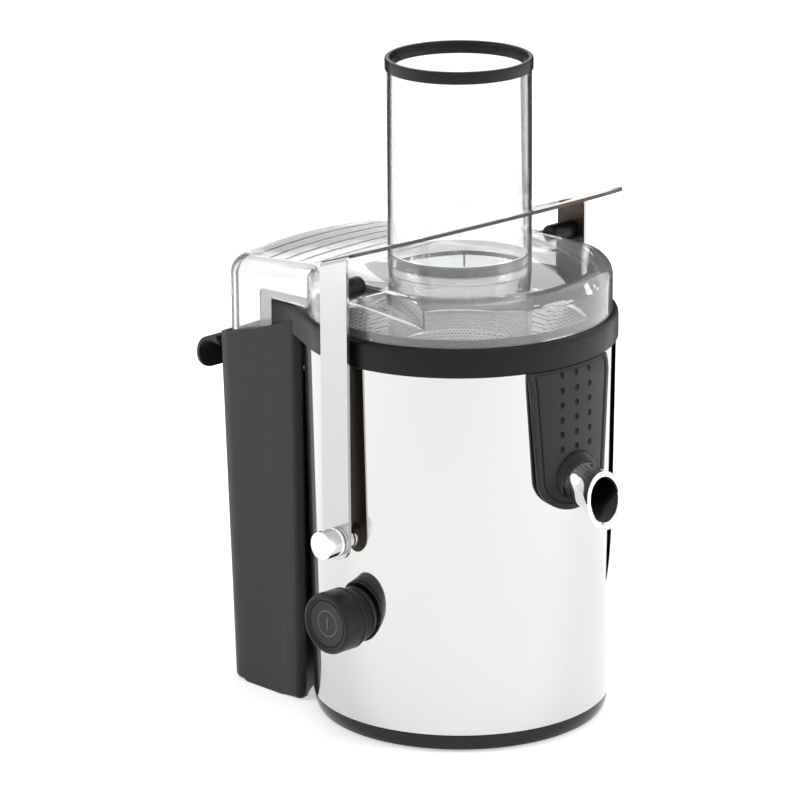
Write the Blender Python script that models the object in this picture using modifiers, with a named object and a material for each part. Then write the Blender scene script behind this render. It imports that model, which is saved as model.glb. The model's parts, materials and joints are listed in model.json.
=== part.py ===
"""Centrifugal juicer: steel motor body, lift-off juice bowl and clear lid, swinging locking arm,
turning switch knob, spinning filter basket and a pulp container that slides away.

Sizes are in millimetres, measured from the motor's axis at table level: +X is the spout side,
-X the pulp container and -Y the side with the knob. MM turns them into metres.
"""
import math

import bmesh
import bpy
from mathutils import Euler, Matrix, Vector

MM = 0.001
GAP = 0.3  # clearance between pieces that touch

# The motor's axis stands this far from the middle of the whole object's length
AXIS_X = 18.08

# Steel sleeve, slightly wider at the top
SLEEVE_FOOT_R, SLEEVE_FOOT_Z = 89.0, 11.3
SLEEVE_TOP_R, SLEEVE_TOP_Z = 92.1, 230.7
SHEET = 0.9

# Juice bowl: rim band, cup, central chimney and outlet nozzle
RIM_R, RIM_LOW, RIM_TOP = 93.5, 231.0, 247.6
CUP_R, CUP_LOW, WALL = 88.5, 155.0, 2.5
CHIMNEY_R, CHIMNEY_TOP = 19.5, 188.0
WING_Y, WING_BEND_X, WING_END_X = 66.0, -78.0, -92.0
NOZZLE_Z, NOZZLE_R, NOZZLE_BORE_R, NOZZLE_END_X = 166.5, 9.0, 6.5, 97.0

# Lid: round part over the bowl and box-shaped part over the pulp container
LID_R, LID_Y, LID_END_X, LID_TOP = 90.0, 66.0, -136.0, 276.5
LID_ROUND, LID_CORNER_R = 9.0, 14.0
LID_SLOPE_X, LID_SLOPE = -30.0, 0.11
TUBE_LOW, TUBE_JOINT = 222.0, 282.4

# Feed chute
CHUTE_R, CHUTE_BORE_R, CHUTE_TOP = 42.5, 40.0, 391.0
CHUTE_RIM_R, TOTAL_HEIGHT = 43.3, 398.3

# Locking arm, hinged low on the body
PIVOT_X, PIVOT_Z = -3.0, 124.7
LEG_Y, LEG_SHEET, LEG_HALF_WIDTH = 99.8, 2.0, 11.0
ARM_SLOPE, ARM_TOP_Z = 0.28, 292.2
VISOR_REACH, VISOR_INNER_X, VISOR_INNER_Y = 90.2, 58.0, 74.0
STUD_Z, STUD_R, STUD_LENGTH = 275.2, 6.0, 20.0
PIN_R, PIN_HOLE_R = 3.0, 3.3
SIDE_REACH = 112.0  # pivot caps and knob face stand this far from the middle plane

# Control knob
KNOB_Z, KNOB_R, KNOB_BACK_Y = 77.3, 18.5, 95.3

# Spout apron and spout
APRON_IN_R, APRON_OUT_R, APRON_LOW = 92.6, 95.6, 144.5
APRON_TOP_HALF, APRON_FOOT_HALF, APRON_TURN_Z = 34.2, 28.2, 165.5
COLLAR_Z, COLLAR_R = 164.5, 15.0
SPOUT_START = (92.5, 0.0, 164.3)
SPOUT_FALL = math.radians(20.0)
SPOUT_LIP_TOP, SPOUT_LIP_LOW = (116.1, 172.2), (122.2, 137.0)

# Pulp container
PULP_Y, PULP_INNER_R, PULP_END_X, PULP_TAPER = 70.0, 94.5, -141.0, 9.3
PULP_CORNER_R, PULP_PEAK_X, PULP_PEAK_Z, PULP_END_Z = 12.0, -80.0, 236.0, 214.0
PULP_INNER_RIM_Z = 205.0
LIP_REACH, LIP_HALF_LENGTH = 17.0, 62.0

# Spinning parts
SHAFT_R, SHAFT_TOP = 4.0, 196.0
DECK_Z, DECK_R = 148.0, 88.6
GLAND_Z = 36.0

FACING = {
    "+Z": (0.0, 0.0, 0.0),
    "+X": (0.0, math.pi / 2, 0.0),
    "-Y": (math.pi / 2, 0.0, 0.0),
    "+Y": (-math.pi / 2, 0.0, 0.0),
}
ACROSS_Y = (math.pi / 2, 0.0, 0.0)  # an outline drawn in X and Z, thick along Y
ACROSS_X = (math.pi / 2, 0.0, math.pi / 2)  # an outline drawn in Y and Z, thick along X

for old in list(bpy.data.objects):
    bpy.data.objects.remove(old, do_unlink=True)


# ---------------------------------------------------------------- collections, holders, finishes

def collection(name):
    group = bpy.data.collections.new(name)
    bpy.context.scene.collection.children.link(group)
    return group


PARTS = collection("centrifugal_juicer")
CUTTERS = collection("cutters")


def holder(name, origin, parent=None):
    """An empty at a joint's axis; origin is measured from the motor's axis."""
    empty = bpy.data.objects.new(name, None)
    empty.empty_display_size = 20 * MM
    base = Vector((-AXIS_X, 0, 0)) if parent is None else Vector((0, 0, 0))
    empty.location = (Vector(origin) - base) * MM
    empty.parent = parent
    PARTS.objects.link(empty)
    return empty


MOTOR_AXIS = holder("motor_axis", (0, 0, 0))
ORIGINS = {
    "frame": (0, 0, 0),
    "bail": (PIVOT_X, 0, PIVOT_Z),
    "rotor": (0, 0, DECK_Z),
    "knob": (0, -KNOB_BACK_Y, KNOB_Z),
    "container": (-PULP_INNER_R, 0, 0),
}
HOLDERS = {"frame": MOTOR_AXIS}
for body in ("bail", "rotor", "knob", "container"):
    HOLDERS[body] = holder(body + "_axis", ORIGINS[body], MOTOR_AXIS)


def finish(name, colour, roughness, metallic=0.0, transmission=0.0):
    material = bpy.data.materials.new(name)
    material.use_nodes = True
    shader = material.node_tree.nodes["Principled BSDF"]
    shader.inputs["Base Color"].default_value = (*colour, 1.0)
    shader.inputs["Roughness"].default_value = roughness
    shader.inputs["Metallic"].default_value = metallic
    shader.inputs["Transmission Weight"].default_value = transmission
    return material


MIRROR_STEEL = finish("mirror_steel", (0.72, 0.72, 0.70), 0.05, 1.0)
CHROME = finish("chrome", (0.80, 0.80, 0.80), 0.04, 1.0)
SATIN_GREY = finish("satin_grey_plastic", (0.060, 0.060, 0.060), 0.42)
GLOSS_BLACK = finish("gloss_black_plastic", (0.008, 0.008, 0.008), 0.12)
BLACK = finish("black_plastic", (0.012, 0.012, 0.012), 0.35)
CLEAR = finish("clear_plastic", (0.95, 0.96, 0.96), 0.03, 0.0, 0.95)
RUBBER = finish("rubber", (0.015, 0.015, 0.015), 0.8)
PLAIN_STEEL = finish("plain_steel", (0.45, 0.45, 0.46), 0.3, 1.0)
COPPER = finish("copper_winding", (0.60, 0.25, 0.12), 0.35, 1.0)
CARBON = finish("carbon", (0.02, 0.02, 0.02), 0.6)
WHITE_PLASTIC = finish("natural_plastic", (0.65, 0.65, 0.62), 0.4)


# ---------------------------------------------------------------- making shapes

def place(item, body, at, turn, material):
    """Hang an object on its body's holder, or put it with the cutters where it has no finish."""
    item.parent = HOLDERS[body]
    item.location = (Vector(at) - Vector(ORIGINS[body])) * MM
    item.rotation_euler = Euler(turn)
    if material is None:
        CUTTERS.objects.link(item)
        item.hide_render = True
        item.display_type = "WIRE"
    else:
        PARTS.objects.link(item)
        item.data.materials.append(material)
    return item


def turned(name, profile, material=None, body="frame", at=(0, 0, 0), along="+Z", steps=48, tilt=None):
    """Turn an outline of (radius, height) points; one that stays off the axis closes on itself."""
    count = len(profile)
    edges = [(i, i + 1) for i in range(count - 1)]
    if all(radius > 0 for radius, _ in profile):
        edges.append((count - 1, 0))
    mesh = bpy.data.meshes.new(name)
    mesh.from_pydata([(radius * MM, 0, height * MM) for radius, height in profile], edges, [])
    item = place(bpy.data.objects.new(name, mesh), body, at, tilt or FACING[along], material)
    screw = item.modifiers.new("turn", "SCREW")
    screw.steps = steps
    screw.render_steps = steps
    screw.use_merge_vertices = True
    screw.merge_threshold = 0.00001
    return item


def disc(radius, low, high):
    """The profile of a plain disc."""
    return [(0, high), (radius, high), (radius, low), (0, low)]


def ring(inner, outer, low, high):
    """The profile of a plain ring."""
    return [(inner, high), (outer, high), (outer, low), (inner, low)]


def flat_mesh(outline, thickness):
    """A plate's mesh, centred on its own plane, from a filled 2D curve."""
    curve = bpy.data.curves.new("outline", "CURVE")
    curve.dimensions = "2D"
    curve.fill_mode = "BOTH"
    curve.extrude = thickness * MM / 2
    spline = curve.splines.new("POLY")
    spline.points.add(len(outline) - 1)
    for point, (x, y) in zip(spline.points, outline):
        point.co = (x * MM, y * MM, 0, 1)
    spline.use_cyclic_u = True
    drawn = bpy.data.objects.new("outline", curve)
    bpy.context.scene.collection.objects.link(drawn)
    mesh = bpy.data.meshes.new_from_object(drawn.evaluated_get(bpy.context.evaluated_depsgraph_get()))
    bpy.data.objects.remove(drawn)
    work = bmesh.new()
    work.from_mesh(mesh)
    bmesh.ops.remove_doubles(work, verts=work.verts, dist=0.000001)
    bmesh.ops.recalc_face_normals(work, faces=work.faces)
    work.to_mesh(mesh)
    work.free()
    return mesh


def plate(name, outline, low, high, material=None, body="frame", turn=(0, 0, 0)):
    """A flat plate between two distances along its thickness: Z, or Y or X where it is turned."""
    middle = (low + high) / 2
    at = {(0, 0, 0): (0, 0, middle), ACROSS_Y: (0, middle, 0), ACROSS_X: (middle, 0, 0)}[turn]
    mesh = flat_mesh(outline, high - low)
    mesh.name = name
    return place(bpy.data.objects.new(name, mesh), body, at, turn, material)


def boxes(name, blocks, material=None, body="frame"):
    """Boxes given by centre, size and turn about Z, all in one object."""
    work = bmesh.new()
    for centre, size, angle in blocks:
        spot = Matrix.Translation(Vector(centre) * MM) @ Matrix.Rotation(angle, 4, "Z")
        scale = Matrix.Diagonal((*[side * MM for side in size], 1.0))
        bmesh.ops.create_cube(work, size=1.0, matrix=spot @ scale)
    mesh = bpy.data.meshes.new(name)
    work.to_mesh(mesh)
    work.free()
    item = place(bpy.data.objects.new(name, mesh), body, ORIGINS[body], (0, 0, 0), material)
    mesh.transform(Matrix.Translation(-Vector(ORIGINS[body]) * MM))
    return item


def combine(item, tool, operation):
    """Add an exact Boolean: DIFFERENCE cuts the tool away, UNION joins it."""
    modifier = item.modifiers.new(operation.lower(), "BOOLEAN")
    modifier.operation = operation
    modifier.solver = "EXACT"
    modifier.object = tool


def arc(centre, radius, start, end, count):
    """Points on an arc, both ends included; angles in degrees."""
    angles = [math.radians(start + (end - start) * i / (count - 1)) for i in range(count)]
    return [(centre[0] + radius * math.cos(a), centre[1] + radius * math.sin(a)) for a in angles]


def mirrored(half):
    """A closed outline from its half at +Y, listed away from the middle plane and back to it."""
    return half + [(x, -y) for x, y in reversed(half) if abs(y) > 0.001]


def sleeve_radius(z):
    share = (z - SLEEVE_FOOT_Z) / (SLEEVE_TOP_Z - SLEEVE_FOOT_Z)
    return SLEEVE_FOOT_R + (SLEEVE_TOP_R - SLEEVE_FOOT_R) * share


# ---------------------------------------------------------------- base

def make_base():
    turned("base_ring", [
        (84.5, 24), (86.8, 24), (86.8, 11), (88.3, 11), (88.3, 6.5), (87.2, 2.8), (85.5, 1),
        (83.5, 1), (83.5, 6.5), (80, 6.5), (80, 8.5), (84.5, 8.5)], GLOSS_BLACK)
    cover = turned("base_cover", disc(83.2, 3.5, 6.2), BLACK)
    vents = [((34 * math.cos(a), 34 * math.sin(a), 5), (26, 4, 8), a)
             for a in (2 * math.pi * (i + 0.5) / 12 for i in range(12))]
    combine(cover, boxes("vent_slots", vents), "DIFFERENCE")
    for number in range(4):
        angle = math.radians(45 + 90 * number)
        spot = (70 * math.cos(angle), 70 * math.sin(angle), 0)
        turned(f"foot_{number + 1}", [(0, 3.2), (8.5, 3.2), (9.5, 0), (0, 0)], RUBBER,
               at=spot, steps=24)
        post = (58 * math.cos(angle), 58 * math.sin(angle), 0)
        turned(f"motor_post_{number + 1}", disc(4.0, 6.5, DECK_Z - GAP), BLACK, at=post, steps=16)


def make_sleeve():
    sleeve = turned("body_sleeve", [
        (SLEEVE_TOP_R - SHEET, SLEEVE_TOP_Z), (SLEEVE_TOP_R, SLEEVE_TOP_Z),
        (SLEEVE_FOOT_R, SLEEVE_FOOT_Z), (SLEEVE_FOOT_R - SHEET, SLEEVE_FOOT_Z)], MIRROR_STEEL, steps=64)
    holes = (
        turned("spindle_hole", disc(6, 60, 110), at=(0, 0, KNOB_Z), along="-Y", steps=24),
        turned("pivot_holes", disc(4, -110, 110), at=(PIVOT_X, 0, PIVOT_Z), along="-Y", steps=24),
        turned("gland_hole", disc(6.4, 60, 110), at=(0, 0, GLAND_Z), along="+Y", steps=24),
    )
    for hole in holes:
        combine(sleeve, hole, "DIFFERENCE")
    notch = arc((0, NOZZLE_Z), 13, 180, 360, 13) + [(13, 240), (-13, 240)]
    combine(sleeve, plate("nozzle_notch", notch, 70, 110, turn=ACROSS_X), "DIFFERENCE")


# ---------------------------------------------------------------- motor and electrics

def make_motor_frame():
    turned("motor_deck", [
        (6, DECK_Z + 3), (DECK_R, DECK_Z + 3), (DECK_R, DECK_Z), (14, DECK_Z), (14, 138), (11.3, 138),
        (11.3, DECK_Z), (6, DECK_Z)], BLACK)
    turned("lower_bracket", [
        (14, 36), (14, 25), (53.5, 25), (53.5, 22), (6, 22), (6, 25), (11.3, 25), (11.3, 36)],
        PLAIN_STEEL, steps=32)
    turned("upper_bearing", ring(4.3, 11, 140, 147.7), PLAIN_STEEL, steps=24)
    turned("lower_bearing", ring(4.3, 11, 25.3, 33), PLAIN_STEEL, steps=24)
    turned("field_core", ring(23.5, 42, 54, 102), PLAIN_STEEL, steps=32)
    turned("field_winding_top", ring(26, 38, 102.3, 108), COPPER, steps=24)
    turned("field_winding_bottom", ring(26, 38, 51.6, 53.7), COPPER, steps=24)
    for number, side in ((1, 1), (2, -1)):
        boxes(f"carbon_brush_{number}", [((side * 17.5, 0, 115), (9, 6, 6), 0)], CARBON)
        boxes(f"brush_holder_{number}", [((side * 32, 0, 115), (19, 12, 12), 0)], BLACK)


def make_electrics():
    boxes("rotary_switch", [((0, -69, KNOB_Z), (30, 17, 30), 0)], WHITE_PLASTIC)
    boxes("interlock_switch", [((16, -74, PIVOT_Z), (20, 8, 12), 0)], BLACK)
    boxes("terminal_block", [((0, 62, 18), (24, 16, 14), 0)], WHITE_PLASTIC)
    turned("cord_gland", [
        (3.8, 12), (8.3, 12), (9, 11.3), (9, 9.7), (6, 9.7), (6, 0), (3.8, 0)], RUBBER,
        at=(0, 80, GLAND_Z), along="+Y", steps=24)


def make_rotor():
    turned("motor_shaft", disc(SHAFT_R, 20 - DECK_Z, SHAFT_TOP - DECK_Z), PLAIN_STEEL, "rotor",
           (0, 0, DECK_Z), steps=16)
    turned("armature", ring(4.3, 22, 56, 100), COPPER, "rotor", steps=32)
    turned("commutator", ring(4.3, 12, 106, 124), COPPER, "rotor", steps=24)
    fan = turned("cooling_fan", ring(4.3, 40, 38, 40), WHITE_PLASTIC, "rotor", steps=32)
    blades = [((24 * math.cos(a), 24 * math.sin(a), 44), (30, 1.5, 10), a)
              for a in (2 * math.pi * i / 10 for i in range(10))]
    combine(fan, boxes("fan_blades", blades), "UNION")
    turned("drive_coupling", [
        (0, 203), (13.5, 203), (13.5, 189), (4.3, 189), (4.3, 196.5), (0, 196.5)], BLACK, "rotor",
        steps=24)
    basket = turned("filter_basket", [
        (0, 207), (54, 207), (74.5, 240), (79, 240), (79, 238), (76.5, 238), (56, 205), (17, 205),
        (17, 192), (13.8, 192), (13.8, 203.3), (0, 203.3)], PLAIN_STEEL, "rotor", steps=48)
    slots = [((66 * math.cos(a), 66 * math.sin(a), 223), (24, 1.6, 20), a)
             for a in (2 * math.pi * (i + 0.5) / 16 for i in range(16))]
    combine(basket, boxes("strainer_slots", slots), "DIFFERENCE")
    grater = turned("grater_disc", ring(8.3, 52, 207.3, 208.5), PLAIN_STEEL, "rotor", steps=32)
    teeth = [(((14 + 2.4 * i) * math.cos(a), (14 + 2.4 * i) * math.sin(a), 209), (2.6, 0.9, 2.4), a)
             for i in range(15) for a in (0.42 * i, 0.42 * i + math.pi)]
    combine(grater, boxes("grater_teeth", teeth), "UNION")
    turned("basket_nut", [(0, 216), (5, 215), (8, 211), (8, 207.3), (0, 207.3)], PLAIN_STEEL,
           "rotor", steps=24)


# ---------------------------------------------------------------- bowl, apron and spout

def rim_tangent(x, y):
    """Where a straight wall from (x, y) meets the bowl's rim without a corner, on the +Y side."""
    distance = math.hypot(x, y)
    turn = math.acos(RIM_R / distance)
    angle = math.atan2(y, x) - turn
    return RIM_R * math.cos(angle), RIM_R * math.sin(angle)


def make_bowl():
    bowl = turned("filter_bowl", [
        (85.4, 252), (87.2, 252), (87.2, RIM_TOP), (90, RIM_TOP), (92.6, 246.3), (RIM_R, 243.5),
        (RIM_R, RIM_LOW), (CUP_R, RIM_LOW), (86.5, 160), (83, CUP_LOW), (16.5, CUP_LOW),
        (16.5, CHIMNEY_TOP), (CHIMNEY_R, CHIMNEY_TOP), (CHIMNEY_R, CUP_LOW + 3), (81.5, CUP_LOW + 3),
        (84, 162), (CUP_R - WALL - 0.4, RIM_LOW)], SATIN_GREY, steps=64)
    foot_x, foot_y = rim_tangent(WING_BEND_X, WING_Y)
    inner_y = WING_Y - 3.0
    wing = [(foot_x, foot_y - 0.2), (WING_BEND_X, WING_Y), (WING_END_X, WING_Y), (WING_END_X, inner_y),
            (WING_BEND_X + 0.6, inner_y), (foot_x * 0.96, foot_y * 0.96)]
    for side, name in ((-1, "wing_front"), (1, "wing_rear")):
        outline = [(x, side * y) for x, y in wing]
        combine(bowl, plate(name, outline, RIM_LOW, RIM_TOP), "UNION")
    combine(bowl, boxes("pulp_way", [((-75, 0, 250), (70, 116, 24), 0)]), "DIFFERENCE")
    nozzle = disc(NOZZLE_R, 84.5, NOZZLE_END_X)
    combine(bowl, turned("nozzle", nozzle, at=(0, 0, NOZZLE_Z), along="+X", steps=24), "UNION")
    bore = disc(NOZZLE_BORE_R, 78, 100)
    combine(bowl, turned("nozzle_bore", bore, at=(0, 0, NOZZLE_Z), along="+X", steps=24), "DIFFERENCE")
    turned("bowl_gasket", ring(60, 64, DECK_Z + 3.3, CUP_LOW - GAP), RUBBER, steps=32)


def make_spout():
    apron = turned("spout_apron", ring(APRON_IN_R, APRON_OUT_R, 140, RIM_LOW - GAP), SATIN_GREY, steps=96)
    foot = arc((0, 0), 1, 180, 360, 17)
    drop = APRON_TURN_Z - APRON_LOW
    tongue = [(APRON_FOOT_HALF * x, APRON_TURN_Z + drop * z) for x, z in foot]
    tongue += [(APRON_TOP_HALF, 240), (-APRON_TOP_HALF, 240)]
    combine(apron, plate("tongue", tongue, 60, 110, turn=ACROSS_X), "INTERSECT")
    collar = disc(COLLAR_R, 93.2, NOZZLE_END_X)
    combine(apron, turned("collar", collar, at=(0, 0, COLLAR_Z), along="+X", steps=32), "UNION")
    way = disc(NOZZLE_R + GAP, 85, 100)
    combine(apron, turned("collar_bore", way, at=(0, 0, NOZZLE_Z), along="+X", steps=24), "DIFFERENCE")
    spout = turned("spout_tube", [
        (8.6, 0), (9.2, 14), (12.3, 42), (14.9, 42), (11.7, 14), (11.1, 0)][::-1],
        CHROME, at=SPOUT_START, tilt=(0, math.pi / 2 + SPOUT_FALL, 0), steps=48)
    behind = boxes("spout_back_cut", [((NOZZLE_END_X + GAP - 20, 0, 165), (40, 60, 60), 0)])
    combine(spout, behind, "DIFFERENCE")
    (top_x, top_z), (low_x, low_z) = SPOUT_LIP_TOP, SPOUT_LIP_LOW
    run_x, run_z = top_x - low_x, top_z - low_z
    beyond = [(top_x + run_x, top_z + run_z), (low_x - run_x, low_z - run_z),
              (low_x + 40, low_z - run_z), (low_x + 40, top_z + run_z)]
    combine(spout, plate("lip_cut", beyond, -30, 30, turn=ACROSS_Y), "DIFFERENCE")


# ---------------------------------------------------------------- lid and chute

def lid_outline(inset):
    """The lid seen from above: a circle joined to a box with rounded outer corners."""
    radius, side, end = LID_R - inset, LID_Y - inset, LID_END_X + inset
    corner = LID_CORNER_R - inset
    meet = math.degrees(math.asin(side / radius))
    half = arc((0, 0), radius, 0, 180 - meet, 21)
    half += arc((end + corner, side - corner), corner, 90, 180, 6)
    return mirrored(half)


def lid_block(name, inset, material=None):
    """A solid lid shape: straight walls, a top that falls away over the box, a rounded top edge."""
    outline = lid_outline(inset)
    top = LID_TOP - inset
    work = bmesh.new()
    base = work.faces.new([work.verts.new((x * MM, y * MM, 200 * MM)) for x, y in outline])
    grown = bmesh.ops.extrude_face_region(work, geom=[base])
    upper = [part for part in grown["geom"] if isinstance(part, bmesh.types.BMVert)]
    bmesh.ops.translate(work, verts=upper, vec=(0, 0, (top - 200) * MM))
    bmesh.ops.bisect_plane(work, geom=work.verts[:] + work.edges[:] + work.faces[:],
                           plane_co=(LID_SLOPE_X * MM, 0, 0), plane_no=(1, 0, 0), dist=0.0000001)
    for vert in work.verts:
        if vert.co.z > 240 * MM and vert.co.x < LID_SLOPE_X * MM:
            vert.co.z -= (LID_SLOPE_X * MM - vert.co.x) * LID_SLOPE
    work.normal_update()
    edge = [e for e in work.edges if len(e.link_faces) == 2
            and any(f.normal.z > 0.9 for f in e.link_faces)
            and any(abs(f.normal.z) < 0.1 for f in e.link_faces)]
    bmesh.ops.bevel(work, geom=edge, offset=(LID_ROUND - inset) * MM, segments=3, profile=0.5,
                    affect="EDGES", offset_type="OFFSET", clamp_overlap=True, material=-1)
    bmesh.ops.recalc_face_normals(work, faces=work.faces)
    mesh = bpy.data.meshes.new(name)
    work.to_mesh(mesh)
    work.free()
    return place(bpy.data.objects.new(name, mesh), "frame", (0, 0, 0), (0, 0, 0), material)


def stud_track(name, side, extra):
    """The channel that a press stud follows through the lid's shoulder, grown by extra."""
    floor = STUD_Z - PIVOT_Z - STUD_R - GAP - extra
    start = math.degrees(math.asin((STUD_R + 1.0 + extra) / floor))
    path = arc((PIVOT_X, PIVOT_Z), floor, 90 + start, 45, 13)
    outline = path + [(path[-1][0] + 40, path[-1][1]), (path[-1][0] + 40, 300), (path[0][0], 300)]
    inner = LEG_Y - LEG_SHEET - STUD_LENGTH - 1.0 - extra
    low, high = sorted((side * inner, side * 110))
    return plate(name, outline, low, high, turn=ACROSS_Y)


def make_lid():
    hollow = lid_block("lid_hollow", WALL)
    lid = lid_block("lid", 0, CLEAR)
    for side, name in ((-1, "front"), (1, "rear")):
        combine(hollow, stud_track("track_wall_" + name, side, WALL), "DIFFERENCE")
        combine(lid, stud_track("track_" + name, side, 0), "DIFFERENCE")
    combine(lid, hollow, "DIFFERENCE")
    seat = RIM_TOP + GAP
    below = [(-170, 190), (110, 190), (110, seat), (WING_END_X - GAP, seat), (WING_END_X - GAP, 226),
             (LID_END_X, 209), (-170, 199)]
    combine(lid, plate("lid_foot_cut", below, -110, 110, turn=ACROSS_Y), "DIFFERENCE")
    tube = disc(CHUTE_R, TUBE_LOW, TUBE_JOINT)
    combine(lid, turned("lid_tube", tube), "UNION")
    combine(lid, turned("lid_tube_bore", disc(CHUTE_BORE_R, 200, 300)), "DIFFERENCE")
    turned("feed_chute", ring(CHUTE_BORE_R, CHUTE_R, TUBE_JOINT + GAP, CHUTE_TOP), CLEAR)
    turned("chute_rim", [
        (39, TOTAL_HEIGHT - 0.8), (39.8, TOTAL_HEIGHT), (42.6, TOTAL_HEIGHT),
        (CHUTE_RIM_R, TOTAL_HEIGHT - 0.8), (CHUTE_RIM_R, CHUTE_TOP + GAP), (39, CHUTE_TOP + GAP)], BLACK)


# ---------------------------------------------------------------- locking arm and knob

def arm_top(x):
    return ARM_TOP_Z + (x - PIVOT_X + LEG_HALF_WIDTH) * ARM_SLOPE


def make_arm():
    back, front = PIVOT_X - LEG_HALF_WIDTH, PIVOT_X + LEG_HALF_WIDTH
    quarter = [math.pi / 2 * i / 14 for i in range(15)]
    outer = [(VISOR_REACH * math.cos(a), LEG_Y * math.sin(a)) for a in quarter]
    inner = [(VISOR_INNER_X * math.cos(a), VISOR_INNER_Y * math.sin(a)) for a in reversed(quarter)]
    visor = mirrored(outer + [(back, LEG_Y), (back, VISOR_INNER_Y)] + inner)
    arm = plate("bail_arm", visor, -LEG_SHEET / 2, LEG_SHEET / 2, MIRROR_STEEL)
    for vert in arm.data.vertices:
        vert.co.z += (arm_top(vert.co.x / MM) - LEG_SHEET / 2) * MM
    arm.data.transform(Matrix.Translation(-Vector(ORIGINS["bail"]) * MM))
    arm.parent = HOLDERS["bail"]
    for side, name in ((-1, "front"), (1, "rear")):
        foot = arc((PIVOT_X, PIVOT_Z), LEG_HALF_WIDTH, 180, 360, 13)
        outline = foot + [(front, arm_top(front) - 1), (back, arm_top(back) - 1)]
        low, high = sorted((side * (LEG_Y - LEG_SHEET), side * LEG_Y))
        combine(arm, plate("leg_" + name, outline, low, high, turn=ACROSS_Y), "UNION")
    hole = turned("leg_holes", disc(PIN_HOLE_R, -110, 110), at=(PIVOT_X, 0, PIVOT_Z), along="-Y", steps=24)
    combine(arm, hole, "DIFFERENCE")


def make_pivots():
    for along, side, name in (("-Y", -1, "front"), ("+Y", 1, "rear")):
        inward = "+Y" if side < 0 else "-Y"
        outside = SIDE_REACH - LEG_Y - GAP
        turned("pivot_cap_" + name, [
            (0, outside), (8.2, outside), (8.6, outside - 0.4), (8.6, 0), (PIN_HOLE_R, 0),
            (PIN_HOLE_R, 6), (0, 6)], CHROME, "bail",
            (PIVOT_X, side * (LEG_Y + GAP), PIVOT_Z), along, 32)
        turned("press_stud_" + name, [
            (0, STUD_LENGTH - GAP), (4.5, STUD_LENGTH - GAP), (STUD_R, STUD_LENGTH - 1.8), (STUD_R, 0), (0, 0)],
            BLACK, "bail", (PIVOT_X, side * (LEG_Y - LEG_SHEET - GAP), STUD_Z), inward, 24)
        turned("pivot_spacer_" + name, ring(PIN_HOLE_R, 8, 91.2, 97.5), CHROME,
               at=(PIVOT_X, 0, PIVOT_Z), along=along, steps=24)
        turned("pivot_pin_" + name, [
            (0, 105.6), (PIN_R, 105.6), (PIN_R, 84), (6, 84), (6, 82), (0, 82)], PLAIN_STEEL,
            at=(PIVOT_X, 0, PIVOT_Z), along=along, steps=24)


def make_knob():
    bezel = turned("switch_bezel", ring(3.4, KNOB_R + 0.3, 84, KNOB_BACK_Y - GAP), BLACK,
                   at=(0, 0, KNOB_Z), along="-Y", steps=40)
    clear = turned("bezel_seat", disc(sleeve_radius(KNOB_Z) + 0.6, 40, 115), steps=96)
    combine(bezel, clear, "DIFFERENCE")
    depth = SIDE_REACH - KNOB_BACK_Y
    seat = (0, -KNOB_BACK_Y, KNOB_Z)
    turned("control_knob", [
        (0, depth - 3.2), (11.8, depth - 3.2), (11.8, depth), (17.3, depth), (KNOB_R, depth - 1.2),
        (KNOB_R, 0), (PIN_HOLE_R, 0), (PIN_HOLE_R, 10), (0, 10)], BLACK, "knob", seat, "-Y", 40)
    turned("knob_badge", [(0, depth - 0.8), (11, depth - 0.8), (11.5, depth - 1.3), (11.5, depth - 2.9),
                          (0, depth - 2.9)], GLOSS_BLACK, "knob", seat, "-Y", 32)
    turned("switch_spindle", disc(PIN_R, 78, 105), PLAIN_STEEL, "knob", (0, 0, KNOB_Z), "-Y", 16)


# ---------------------------------------------------------------- pulp container

def pulp_outline(inset, end_x):
    """The container seen from above: its inner wall follows the body, its outer corners are round."""
    radius, side, corner = PULP_INNER_R + inset, PULP_Y - inset, PULP_CORNER_R - inset
    meet = math.degrees(math.asin((side - 0.001) / radius))
    half = arc((0, 0), radius, 180, 180 - meet, 9)
    half += arc((end_x + inset + corner, side - corner), corner, 90, 180, 6)
    closed = half + [(x, -y) for x, y in reversed(half) if abs(y) > 0.001]
    return closed


def pulp_block(name, inset, low, high, material=None, body="frame"):
    """A solid container shape whose end wall leans out towards the rim."""
    work = bmesh.new()
    loops = []
    for z in (low, high):
        end_x = PULP_END_X + PULP_TAPER * (1 - z / PULP_END_Z)
        points = pulp_outline(inset, end_x)
        loops.append([work.verts.new((x * MM, y * MM, z * MM)) for x, y in points])
    bottom = [work.edges.new((loops[0][i - 1], loops[0][i])) for i in range(len(loops[0]))]
    top = [work.edges.new((loops[1][i - 1], loops[1][i])) for i in range(len(loops[1]))]
    bmesh.ops.bridge_loops(work, edges=bottom + top)
    work.faces.new(loops[0])
    work.faces.new(loops[1])
    bmesh.ops.recalc_face_normals(work, faces=work.faces)
    mesh = bpy.data.meshes.new(name)
    work.to_mesh(mesh)
    work.free()
    mesh.transform(Matrix.Translation(-Vector(ORIGINS[body]) * MM))
    return place(bpy.data.objects.new(name, mesh), body, ORIGINS[body], (0, 0, 0), material)


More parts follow.
